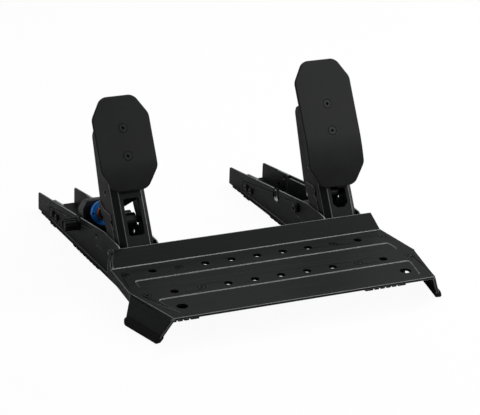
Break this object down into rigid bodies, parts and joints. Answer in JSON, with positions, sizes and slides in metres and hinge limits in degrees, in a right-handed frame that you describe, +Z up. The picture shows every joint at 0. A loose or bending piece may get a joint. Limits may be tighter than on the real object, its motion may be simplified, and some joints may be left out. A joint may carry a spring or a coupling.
{
  "type": "sim racing pedal set",
  "caption": "Sim racing pedal set: bent steel heel plate on two long rails, load cell brake and sprung accelerator with tall curved faces.",
  "frame": {"origin": "on the floor, under the middle of the footprint", "axes": "+X to the driver's right, +Y away from the driver along the rails, +Z up"},
  "size_m": [0.3484, 0.396, 0.2015],
  "materials": {
    "black_steel": "satin black powder coat",
    "black_face": "matte black powder coat",
    "black_bolts": "black oxide",
    "black_rubber": "matte",
    "bright_steel": "satin",
    "spring_steel": "satin",
    "dark_aluminium": "bead-blasted, dark anodised",
    "bush_bronze": "sintered, dull",
    "blue_anodised": "blue anodised",
    "soft_elastomer": "matte",
    "firm_elastomer": "matte",
    "black_plastic": "fine grain",
    "circuit_board": "solder mask"
  },
  "bodies": {
    "frame": {"heel_plate": "black_steel", "heel_plate_screws": "black_bolts", "left_wing_boot": "black_rubber", "right_wing_boot": "black_rubber", "brake_rail": "black_steel", "brake_rail_foot": "black_rubber", "brake_rail_bracket": "black_steel", "brake_side_plates": "black_steel", "brake_rear_bracket": "black_steel", "brake_rear_bolts": "black_bolts", "brake_pivot_axle": "black_bolts", "elastomer_front": "soft_elastomer", "elastomer_rear": "firm_elastomer", "blue_cup": "blue_anodised", "cup_screws": "black_bolts", "load_cell_carriage": "dark_aluminium", "load_cell": "bright_steel", "cross_shaft": "black_bolts", "accelerator_rail": "black_steel", "accelerator_rail_foot": "black_rubber", "accelerator_rail_bracket": "black_steel", "accelerator_side_plates": "black_steel", "accelerator_rear_bracket": "black_steel", "accelerator_rear_bolts": "black_bolts", "accelerator_pivot_axle": "black_bolts", "trunnion_bolts": "black_bolts", "sensor_board": "circuit_board", "control_box": "black_plastic", "control_lid": "black_plastic", "control_board": "circuit_board", "data_port": "bright_steel", "lid_screws": "black_bolts"},
    "brake_arm": {"brake_pivot_bushes": "bush_bronze", "brake_arm": "black_steel", "brake_arm_plates": "black_steel", "brake_arm_brace": "black_steel", "brake_face_spacer": "black_plastic", "brake_face": "black_face", "brake_face_screws": "black_bolts", "brake_rod_pin": "black_bolts"},
    "brake_rod": {"push_rod": "black_bolts", "lock_nut": "black_bolts", "plunger": "dark_aluminium"},
    "left_knob": {"left_knob": "black_plastic"},
    "right_knob": {"right_knob": "black_plastic"},
    "accelerator_arm": {"accelerator_pivot_bushes": "bush_bronze", "accelerator_arm": "black_steel", "accelerator_arm_plates": "black_steel", "accelerator_face_spacer": "black_plastic", "accelerator_face": "black_face", "accelerator_face_screws": "black_bolts", "accelerator_rod_pin": "black_bolts", "sensor_magnet": "bright_steel"},
    "accelerator_rod": {"guide_rod": "black_bolts", "spring_cup": "dark_aluminium", "rebound_nut": "black_bolts"},
    "accelerator_trunnion": {"trunnion": "dark_aluminium", "return_spring": "spring_steel"}
  },
  "joints": [
    {"name": "brake_pivot", "type": "hinge", "parent": "frame", "child": "brake_arm", "pos_m": [-0.12, -0.0265, 0.016], "axis": [-1, 0, 0], "range_deg": [0, 5], "stiffness_Nm_per_rad": 40, "springref_deg": -1.72, "deforming": ["elastomer_front", "elastomer_rear"]},
    {"name": "brake_rod_pivot", "type": "hinge", "parent": "brake_arm", "child": "brake_rod", "pos_m": [-0.12, -0.01542, 0.06259], "axis": [-1, 0, 0], "range_deg": [-5.19, 0]},
    {"name": "left_knob_turn", "type": "hinge", "parent": "frame", "child": "left_knob", "pos_m": [-0.15, 0.074, 0.0294], "axis": [-1, 0, 0], "continuous": true},
    {"name": "right_knob_turn", "type": "hinge", "parent": "frame", "child": "right_knob", "pos_m": [-0.09, 0.074, 0.0294], "axis": [1, 0, 0], "continuous": true},
    {"name": "accelerator_pivot", "type": "hinge", "parent": "frame", "child": "accelerator_arm", "pos_m": [0.12, -0.0265, 0.016], "axis": [-1, 0, 0], "range_deg": [0, 20], "stiffness_Nm_per_rad": 8, "springref_deg": -14.32},
    {"name": "accelerator_rod_pivot", "type": "hinge", "parent": "accelerator_arm", "child": "accelerator_rod", "pos_m": [0.12, -0.01542, 0.06259], "axis": [-1, 0, 0], "range_deg": [-12.17, 0]},
    {"name": "accelerator_trunnion_turn", "type": "hinge", "parent": "frame", "child": "accelerator_trunnion", "pos_m": [0.12, 0.021, 0.0343], "axis": [-1, 0, 0], "range_deg": [0, 7.93], "deforming": ["return_spring"]}
  ],
  "couplings": [
    {"joint": "brake_rod_pivot", "follows": "brake_pivot", "ratio": -1.0274},
    {"joint": "accelerator_rod_pivot", "follows": "accelerator_pivot", "ratio": -0.6062},
    {"joint": "accelerator_trunnion_turn", "follows": "accelerator_pivot", "ratio": 0.3938}
  ]
}
